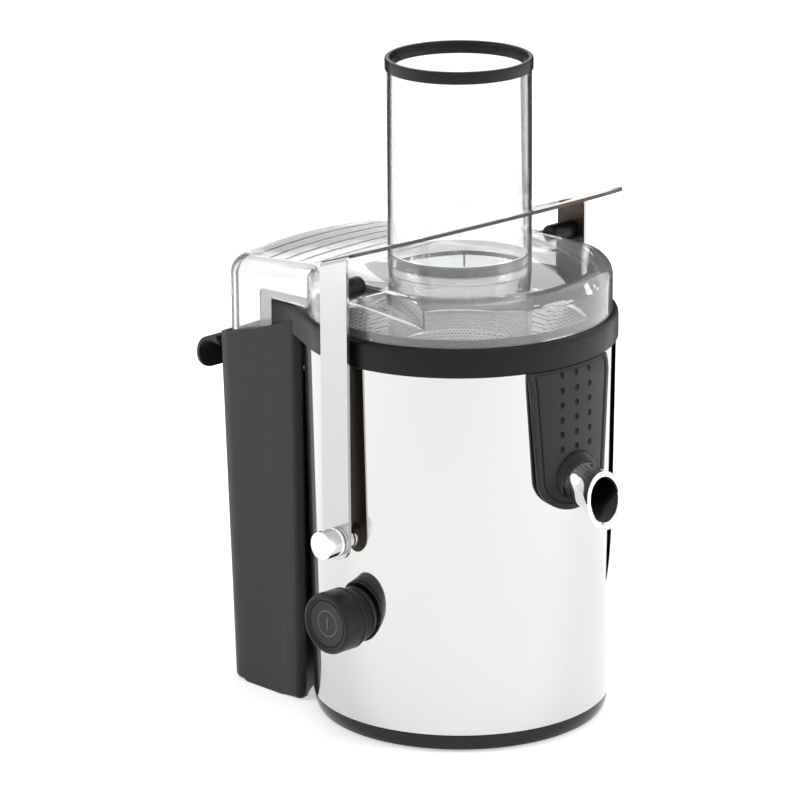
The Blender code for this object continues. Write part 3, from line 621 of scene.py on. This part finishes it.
# %% [markdown]
# ## Pivots, studs and knob
# Small turned parts. Each pivot has a chrome cap with a flat polished face, and a stud of black
# plastic sits inside each leg near the top. The knob is a plain black drum with a raised rim; its
# disc carries a ring and a bar, the common mark for a switch.

# %% Pivot caps, spacers and studs
PIN_HOLE_R = 3.3
for side, way, name in ((-1, "-Y", "front"), (1, "+Y", "rear")):
    at = (PIVOT_X, side * (LEG_Y + 0.3), PIVOT_Z)
    reach = spot("pivot_cap_" + name)[1 if side > 0 else 0].y * side - LEG_Y - 0.3
    cap = turned([(0, reach), (8.6, reach, 0.5), (8.6, 2.6, 0.3), (7.9, 2.3, 0.2), (7.9, 1.6, 0.2),
                  (8.6, 1.3, 0.3), (8.6, 0, 0.2), (PIN_HOLE_R, 0), (PIN_HOLE_R, 6), (0, 6)], 64, 3)
    keep(aimed(cap, way, at), "pivot_cap_chrome_" + name, "locking_arm", CHROME, "chrome", "pivot_cap_" + name)
    back = "+Y" if side < 0 else "-Y"
    stud = turned([(0, STUD_LENGTH - 0.3), (STUD_R, STUD_LENGTH - 0.3, 2.4), (STUD_R, 0, 0.2), (0, 0)], 48, 6)
    aimed(stud, back, (PIVOT_X, side * (LEG_Y - LEG_SHEET - 0.3), STUD_Z))
    keep(stud, "arm_stud_" + name, "locking_arm", BLACK_ABS, "black_plastic", "press_stud_" + name)
    spacer = turned([(PIN_HOLE_R, 91.2), (PIN_HOLE_R, 97.5), (6.6, 97.5, 0.6), (6.6, 91.2)], 64, 3)
    aimed(spacer, way, (PIVOT_X, 0, PIVOT_Z))
    keep(spacer, "pivot_collar_" + name, "body", CHROME, "chrome", "pivot_spacer_" + name)

# %% Knob and its bezel
KNOB_R, KNOB_Z, KNOB_BACK_Y = 18.5, 77.3, 95.3
knob_at = (0, -KNOB_BACK_Y, KNOB_Z)
DEPTH = -spot("control_knob")[0].y - KNOB_BACK_Y
knob = turned([
    (0, DEPTH - 3.2), (14.2, DEPTH - 3.2), (14.2, DEPTH - 1.4, 0.3), (15.2, DEPTH - 1.2, 0.4),
    (15.9, DEPTH, 0.4), (17.4, DEPTH, 0.5), (KNOB_R, DEPTH - 1.4, 0.6), (KNOB_R, 3.4, 0.2), (17.9, 3.0),
    (17.9, 2.2), (KNOB_R, 1.8, 0.2), (KNOB_R, 0.2, 0.4), (3.3, 0.2), (3.3, 10), (0, 10)], 128, 3)
mark = raised([(-0.9, 0), (0.9, 0), (0.9, 9), (-0.9, 9)], KNOB_R - 0.5, KNOB_R + 2)
knob = combine(knob, mark, "DIFFERENCE")
keep(aimed(knob, "-Y", knob_at), "knob_drum", "knob", BLACK_ABS, "black_plastic", "control_knob")
badge = turned([(0, DEPTH - 1.9), (9, DEPTH - 1.7, 4), (13.9, DEPTH - 1.3, 0.4), (13.9, DEPTH - 2.9),
                (0, DEPTH - 2.9)], 96)
keep(aimed(badge, "-Y", knob_at), "knob_disc", "knob", GLOSS_ABS, "gloss_black_plastic", "knob_badge")
MARK_GREY = finish("printed_grey_ink", "#6f6b68", 0.35)
varied(MARK_GREY, "Roughness", 0.3, 0.4, 2)
loop = turned([(7.4, DEPTH - 2.0), (8.1, DEPTH - 2.0), (8.1, DEPTH - 1.6, 0.12),
               (7.4, DEPTH - 1.6, 0.12)], 96, 2)
keep(aimed(loop, "-Y", knob_at), "knob_mark_ring", "knob", MARK_GREY, "gloss_black_plastic")
bar = raised(oblong(-0.45, 0.45, -4, 4, 0.2), DEPTH - 2.1, DEPTH - 1.7, rounding_steps=2)
keep(aimed(bar, "-Y", knob_at), "knob_mark_bar", "knob", MARK_GREY, "gloss_black_plastic")

bezel = turned([(3.4, 84), (3.4, 95), (16.2, 95, 0.4), (16.6, 94, 0.4), (16.6, 84)], 128, 3)
bezel = aimed(bezel, "-Y", (0, 0, KNOB_Z))
sleeve_space = turned([(0, 40), (SLEEVE_FOOT_R + 1.4, 40), (SLEEVE_FOOT_R + 1.4, 115), (0, 115)], 160)
bezel = combine(bezel, sleeve_space, "DIFFERENCE")
keep(bezel, "switch_bezel_ring", "body", BLACK_ABS, "black_plastic", "switch_bezel")

# %% [markdown]
# ## Apron and spout
# Below the rim a tongue of satin plastic wraps the sleeve and holds the spout. It is drawn flat: a
# face with a raised border, an inset groove and eighteen shallow dimples. Bending it last, by turning
# distance across into an angle, is simpler than modelling on the curve.

# %% Apron
APRON_R, APRON_THICK, APRON_FOOT_Z, APRON_TURN_Z = 95.6, 2.8, 144.5, 165.5
apron_top = spot("spout_apron")[1].z
foot = [(28.2 * x, APRON_TURN_Z + (APRON_TURN_Z - APRON_FOOT_Z) * z) for x, z in arc((0, 0), 1, 180, 360, 41)]
apron = outline(foot + [(34.2, apron_top), (-34.2, apron_top)])
if apron.faces[:][0].normal.y > 0:
    bmesh.ops.reverse_faces(apron, faces=apron.faces)
grown = bmesh.ops.extrude_face_region(apron, geom=apron.faces[:], use_keep_orig=True)
backs = [part for part in grown["geom"] if isinstance(part, bmesh.types.BMVert)]
bmesh.ops.translate(apron, verts=backs, vec=(0, APRON_THICK, 0))
bmesh.ops.recalc_face_normals(apron, faces=apron.faces)
front = [f for f in apron.faces if f.normal.y < -0.9]
bmesh.ops.inset_region(apron, faces=front, thickness=3.2, use_even_offset=True)
bmesh.ops.inset_region(apron, faces=front, thickness=0.5, depth=-1.1, use_even_offset=True)
bmesh.ops.inset_region(apron, faces=front, thickness=0.7, use_even_offset=True)
bmesh.ops.inset_region(apron, faces=front, thickness=0.5, depth=0.7, use_even_offset=True)
soften(apron, 0.25, angle=30)
for vert in apron.verts:
    if abs(vert.co.x) < 31.5 and vert.co.y < 1.5 and apron_top - 6 < vert.co.z < apron_top - 2.5:
        vert.co.z += 2.7
for row in range(6):
    for column in (-11.5, 0, 11.5):
        ball = bmesh.new()
        bmesh.ops.create_uvsphere(ball, u_segments=20, v_segments=12, radius=2.1,
                                  matrix=Matrix.Translation((column, -0.1, 226.8 - 8.9 * row)))
        apron = combine(apron, ball, "DIFFERENCE")
sliced(apron, [((x, 0, 0), (1, 0, 0)) for x in range(-34, 36, 2)])
sliced(apron, [((0, 0, z), (0, 0, 1)) for z in range(146, 238, 4)])
for vert in apron.verts:
    swell = min(1.0, (apron_top - vert.co.z) / 10)
    radius = APRON_R - 1.9 * (1 - swell) ** 2 - vert.co.y
    angle = vert.co.x / APRON_R
    vert.co = Vector((radius * math.cos(angle), radius * math.sin(angle), vert.co.z))
bmesh.ops.recalc_face_normals(apron, faces=apron.faces)
keep(apron, "apron_panel", "body", SATIN_ABS, "satin_grey_plastic", "spout_apron", sharp=28)

# %% Spout, the black lining that paints shade in its bore, and its collar
SPOUT_FALL = math.radians(20.0)
SPOUT_START = Vector((92.5, 0, 164.3))
LIP_TOP, LIP_LOW = Vector((115.3, 0, 172.2)), Vector((121.2, 0, 137.0))


def along_spout(work):
    bmesh.ops.rotate(work, verts=work.verts, cent=(0, 0, 0),
                     matrix=Matrix.Rotation(math.pi / 2 + SPOUT_FALL, 3, "Y"))
    bmesh.ops.translate(work, verts=work.verts, vec=SPOUT_START)
    return work


def trimmed(work, start_x, lip_shift):
    """Cuts a tube upright behind and along the pouring lip in front, and closes both ends."""
    run = LIP_LOW - LIP_TOP
    for plane in ((Vector((start_x, 0, 0)), Vector((-1, 0, 0))),
                  (LIP_TOP - Vector((lip_shift, 0, 0)), Vector((-run.z, 0, run.x)))):
        sliced(work, [plane], clear_outer=True)
        bmesh.ops.bridge_loops(work, edges=[e for e in work.edges if e.is_boundary])
    return tidy(work)


def flared(wall_in, wall_out):
    """A tube that opens like a bell just before its oblique lip; both arguments move a skin."""
    reach = [44.0 * i / 22 for i in range(23)]
    tube = turned([(12.0 + wall_out, t) for t in reach] + [(8.8 + wall_in, t) for t in reversed(reach)], 96)
    for vert in tube.verts:
        to_lip = max(0.0, 28.3 + 0.63 * vert.co.x - vert.co.z)
        radius = math.hypot(vert.co.x, vert.co.y)
        stretch = 1 + 3.4 * math.exp(-to_lip / 5) / radius
        vert.co.x, vert.co.y = vert.co.x * stretch, vert.co.y * stretch
    return along_spout(tube)


spout = trimmed(flared(0.5, 0), 97.3, 0)
soften(spout, 0.7, angle=50, segments=4, where=lambda e: min(v.co.x for v in e.verts) > 110)
keep(spout, "spout_chrome", "body", CHROME, "chrome", "spout_tube", sharp=40)
# A black plastic lining inside the chrome shell; the dark it gives the bore is painted shade.
bore_shade = trimmed(flared(0.0, -3.0), 97.3, 0.8)
keep(bore_shade, "spout_bore_shade", "body", BLACK_ABS, "black_plastic", sharp=40)
socket = along_spout(turned([(12.3, -2), (12.3, 5.0, 0.3), (13.6, 5.0, 0.8), (14.8, 2.5, 1.0), (15.6, 0),
                             (15.6, -2)], 96, 4))
sliced(socket, [((93.6, 0, 0), (-1, 0, 0))], clear_outer=True)
bmesh.ops.bridge_loops(socket, edges=[e for e in socket.edges if e.is_boundary])
keep(tidy(socket), "spout_socket", "body", BLACK_ABS, "satin_grey_plastic", "spout_apron")

# %% [markdown]
# ## Pulp container
# A tall bin whose inner wall is hollowed to fit the round body, with a curved pull lip along its far
# rim. Its walls come from one outline pushed up and leaned out; a Solidify modifier gives the wall
# and a Bevel modifier rounds the rim, which keeps the inside even with the outside.

# %% Container walls
PULP_Y, PULP_INNER_R, PULP_END_X, PULP_TAPER = 70.0, 93.4, -141.0, 9.3
PULP_END_Z, PULP_RISE, PULP_INNER_Z, PULP_FILLET = 214.0, 0.355, 205.0, 4.0


def rim_height(x, y):
    """The rim climbs along each side, then falls round the corner to the low inner wall."""
    side = PULP_END_Z + (x - PULP_END_X) * PULP_RISE
    return side if x < -100 else max(PULP_INNER_Z, side - 3.1 * (PULP_Y - abs(y)))


fillet_y = PULP_Y - PULP_FILLET
fillet_turn = math.degrees(math.asin(fillet_y / (PULP_INNER_R + PULP_FILLET)))
fillet_x = -math.sqrt((PULP_INNER_R + PULP_FILLET) ** 2 - fillet_y ** 2)
half = arc((0, 0), PULP_INNER_R, 180, 180 - fillet_turn, 29)[:-1]
half += arc((fillet_x, fillet_y), PULP_FILLET, -fillet_turn, 90, 15) + [(x, PULP_Y) for x in (-85, -100, -115)]
half += arc((PULP_END_X + PULP_TAPER + 12, PULP_Y - 12), 12, 90, 180, 13)
bin_walls = outline(half + [(x, -y) for x, y in reversed(half) if abs(y) > 0.001], "XY")
bmesh.ops.translate(bin_walls, verts=bin_walls.verts, vec=(0, 0, 0.4))
floor_edges = bin_walls.edges[:]
grown = bmesh.ops.extrude_edge_only(bin_walls, edges=floor_edges)
for vert in [part for part in grown["geom"] if isinstance(part, bmesh.types.BMVert)]:
    top = rim_height(vert.co.x, vert.co.y)
    if vert.co.x < -100:
        vert.co.x -= PULP_TAPER * (-100 - vert.co.x) / 31.7 * top / PULP_END_Z
    vert.co.z = top
bmesh.ops.bevel(bin_walls, geom=floor_edges, offset=3, segments=4, profile=0.5, affect="EDGES", material=-1)
bmesh.ops.recalc_face_normals(bin_walls, faces=bin_walls.faces)
if min(bin_walls.faces, key=lambda f: f.calc_center_median().z).normal.z > 0:
    bmesh.ops.reverse_faces(bin_walls, faces=bin_walls.faces)
container = keep(bin_walls, "pulp_bin", "container", SATIN_ABS, "satin_grey_plastic", "pulp_container")
wall = container.modifiers.new("wall", "SOLIDIFY")
wall.thickness, wall.offset, wall.use_even_offset = 2.5 * MM, -1, False
rim = container.modifiers.new("rim", "BEVEL")
rim.width, rim.segments, rim.limit_method, rim.angle_limit = 0.7 * MM, 3, "ANGLE", math.radians(60)

# %% Pull lip
lip_low = spot("pulp_container")[0].x
path = [(PULP_END_X + 1.2, PULP_END_Z + 0.8), (PULP_END_X - 3, PULP_END_Z + 0.4)]
path += arc((lip_low + 12, PULP_END_Z - 12.6), 12, 75, 180, 13) + [(lip_low + 0.6, 190.8)]
lip = bmesh.new()
verts = [lip.verts.new((x, -67.5, z)) for x, z in path]
strip = [lip.edges.new(pair) for pair in zip(verts, verts[1:])]
grown = bmesh.ops.extrude_edge_only(lip, edges=strip)
moved = [part for part in grown["geom"] if isinstance(part, bmesh.types.BMVert)]
bmesh.ops.translate(lip, verts=moved, vec=(0, 135, 0))
low_corners = [v for v in lip.verts if v.co.z < 192]
bmesh.ops.bevel(lip, geom=low_corners, offset=9.5, segments=8, profile=0.5, affect="VERTICES", material=-1)
bmesh.ops.recalc_face_normals(lip, faces=lip.faces)
if max(lip.faces, key=lambda f: f.calc_center_median().z).normal.z < 0:
    bmesh.ops.reverse_faces(lip, faces=lip.faces)
bmesh.ops.solidify(lip, geom=lip.faces[:], thickness=2.2)
bmesh.ops.recalc_face_normals(lip, faces=lip.faces)
soften(lip, 0.6, angle=60)
keep(lip, "bin_pull_lip", "container", SATIN_ABS, "satin_grey_plastic", sharp=30)

# %% [markdown]
# ## Guard and basket
# Behind the clear box two smoked walls keep pulp off the arm. Under the chute the steel basket shows
# through the lid: a cone of fine sieve between a bright rim and a band. The sieve's holes are far
# smaller than the render can show, so they are drawn 1.6 mm apart as dark dots in the finish.

# %% Smoked guard walls
for side, name in ((-1, "front"), (1, "rear")):
    low, high = sorted((side * 61.6, side * 63.1))
    wall_shape = [(-104, 207), (-104, 251, 1.5), (-50, 253, 1.5), (-50, 233), (-92, 233), (-92, 222)]
    guard = raised(wall_shape, low, high, plane="XZ")
    keep(guard, "bowl_guard_" + name, "body", SMOKED_SAN, "satin_grey_plastic", "filter_bowl")

# %% Basket
SIEVE_STEEL = finish("photo_etched_sieve_steel", "#cfcfcf", 0.3, 1.0)
place = add(SIEVE_STEEL, "ShaderNodeTexCoord")
dots = add(SIEVE_STEEL, "ShaderNodeTexVoronoi", {"Scale": 1 / (1.6 * MM), "Randomness": 0.0},
           Vector=(place, "Object"))
holes = add(SIEVE_STEEL, "ShaderNodeValToRGB", Fac=(dots, "Distance"))
holes.color_ramp.elements[0].position, holes.color_ramp.elements[1].position = 0.28, 0.42
holes.color_ramp.elements[0].color, holes.color_ramp.elements[1].color = linear("#2a2a2a"), linear("#cfcfcf")
sieve_tree = SIEVE_STEEL.node_tree
sieve_tree.links.new(holes.outputs["Color"], sieve_tree.nodes["Principled BSDF"].inputs["Base Color"])
sieve = turned([(54.5, 207.3), (75.2, 238.6), (76.0, 238.2), (55.3, 206.6)], 128)
keep(sieve, "basket_sieve", "rotor", SIEVE_STEEL, "plain_steel", "filter_basket")
hoop = turned([(74.4, 236), (74.4, 240, 0.4), (79, 240, 0.6), (79, 238.4, 0.4), (76.6, 237.8),
               (76.6, 236)], 128, 3)
keep(hoop, "basket_hoop", "rotor", CHROME, "plain_steel", "filter_basket")
pan = turned([
    (0, 207.1), (55.4, 207.1, 0.4), (56.4, 211, 0.3), (57.2, 211, 0.2), (56.4, 205, 1.2), (17, 205),
    (17, 192, 0.5), (13.8, 192, 0.5), (13.8, 203.3), (0, 203.3)], 128, 3)
keep(pan, "basket_pan", "rotor", PLAIN_STEEL, "plain_steel", "filter_basket")

# %% [markdown]
# ## Studio
# A pale sweep for a floor and a white surround, with a broad soft light on each side and one above,
# so the front of dark plastic stays deep and its sides catch a sheen. The sweep glows a little, like
# a light table. Two black cards stand behind, out of the lens's sight; reflections and clear walls
# pick them up as thin dark edges. Fainter strips in the surround shade the mirror.

# %% Floor
def staged(work, name, material):
    """A thing of the studio: it is in the scene but not part of the juicer."""
    mesh = bpy.data.meshes.new(name)
    work.to_mesh(mesh)
    work.free()
    mesh.materials.append(material)
    thing = bpy.data.objects.new(name, mesh)
    SCENE.collection.objects.link(thing)
    return thing


PAPER = finish("white_paper_sweep", "#f4f4f3", 0.75,
               Emission_Color=(1, 1, 1, 1), Emission_Strength=0.5)
varied(PAPER, "Roughness", 0.7, 0.8, 40)
work = bmesh.new()
bmesh.ops.create_grid(work, x_segments=1, y_segments=1, size=6.0)
floor = staged(work, "floor", PAPER)
floor.visible_diffuse = False

# %% Black cards behind the juicer
CARD_HIGH = 0.6
CARD_BLACK = finish("black_card", "#050505", 0.9, Specular_IOR_Level=0.0)
varied(CARD_BLACK, "Roughness", 0.85, 0.95, 30)
CARD_ENDS = {"card_left": (-0.17, 0.45, -0.25, 0.2), "card_right": (0.115, 0.45, 0.205, 0.15)}
for name, (x0, y0, x1, y1) in CARD_ENDS.items():
    place = (Matrix.Rotation(math.radians(45), 4, "Z")
             @ Matrix.Translation(((x0 + x1) / 2, (y0 + y1) / 2, CARD_HIGH / 2 + 0.002))
             @ Matrix.Rotation(math.atan2(y1 - y0, x1 - x0), 4, "Z")
             @ Matrix.Diagonal((math.hypot(x1 - x0, y1 - y0), 0.004, CARD_HIGH, 1)))
    work = bmesh.new()
    bmesh.ops.create_cube(work, size=1, matrix=place)
    card = staged(work, name, CARD_BLACK)
    card.visible_camera = card.visible_diffuse = card.visible_shadow = False

# %% Surround
world = bpy.data.worlds.new("studio")
world.use_nodes = True
SCENE.world = world
tree = world.node_tree
backdrop = tree.nodes["Background"]
coordinate = tree.nodes.new("ShaderNodeTexCoord")
heading = tree.nodes.new("ShaderNodeMapping")
heading.vector_type = "VECTOR"
heading.inputs["Rotation"].default_value = (0, 0, math.radians(-45))
tree.links.new(coordinate.outputs["Generated"], heading.inputs["Vector"])
split = tree.nodes.new("ShaderNodeSeparateXYZ")
tree.links.new(heading.outputs["Vector"], split.inputs["Vector"])


def maths(operation, first, second=None):
    """One Math node; each input is a number or a socket."""
    item = tree.nodes.new("ShaderNodeMath")
    item.operation = operation
    for socket, value in zip(item.inputs, (first, second)):
        if isinstance(value, bpy.types.NodeSocket):
            tree.links.new(value, socket)
        elif value is not None:
            socket.default_value = value
    return item.outputs[0]


turn = maths("MULTIPLY", maths("ARCTAN2", split.outputs["X"], split.outputs["Y"]), 180 / math.pi)
STRIPS = [(72, 5, 0.3), (-92, 8, 0.4), (165, 12, 0.12)]
SURROUND, AMBIENT = 1.22, 0.35
light = SURROUND
for centre, half_width, darkness in STRIPS:
    off = maths("ABSOLUTE", maths("SUBTRACT", turn, centre))
    edge = maths("MULTIPLY", maths("SUBTRACT", half_width, off), 0.35)
    edge.node.use_clamp = True
    light = maths("MULTIPLY", light, maths("SUBTRACT", 1.0, maths("MULTIPLY", edge, darkness)))
rays = tree.nodes.new("ShaderNodeLightPath")
soft, seen = rays.outputs["Is Diffuse Ray"], rays.outputs["Is Camera Ray"]
glossy = maths("SUBTRACT", 1.0, maths("MAXIMUM", seen, soft))
from_behind = maths("MULTIPLY", maths("ADD", split.outputs["Y"], 1.15), AMBIENT)
level = maths("ADD", maths("MULTIPLY", glossy, light), maths("ADD", seen, maths("MULTIPLY", soft, from_behind)))
tree.links.new(level, backdrop.inputs["Strength"])
backdrop.inputs["Color"].default_value = (1, 1, 1, 1)


def softbox(name, place, size, power):
    data = bpy.data.lights.new(name, "AREA")
    data.shape, data.size, data.energy = "DISK", size, power
    lamp = bpy.data.objects.new(name, data)
    SCENE.collection.objects.link(lamp)
    lamp.location = place
    lamp.visible_glossy = False
    lamp.rotation_mode = "QUATERNION"
    lamp.rotation_quaternion = (Vector((0, 0, 0.2)) - Vector(place)).to_track_quat("-Z", "Y")
    return lamp


softbox("left_softbox", (-1.5, -1.9, 0.9), 1.2, 34)
softbox("right_softbox", (1.9, 1.3, 0.9), 1.2, 36)
softbox("top_softbox", (0.2, 0.2, 2.2), 1.4, 14)
SCENE.view_settings.view_transform = "Standard"
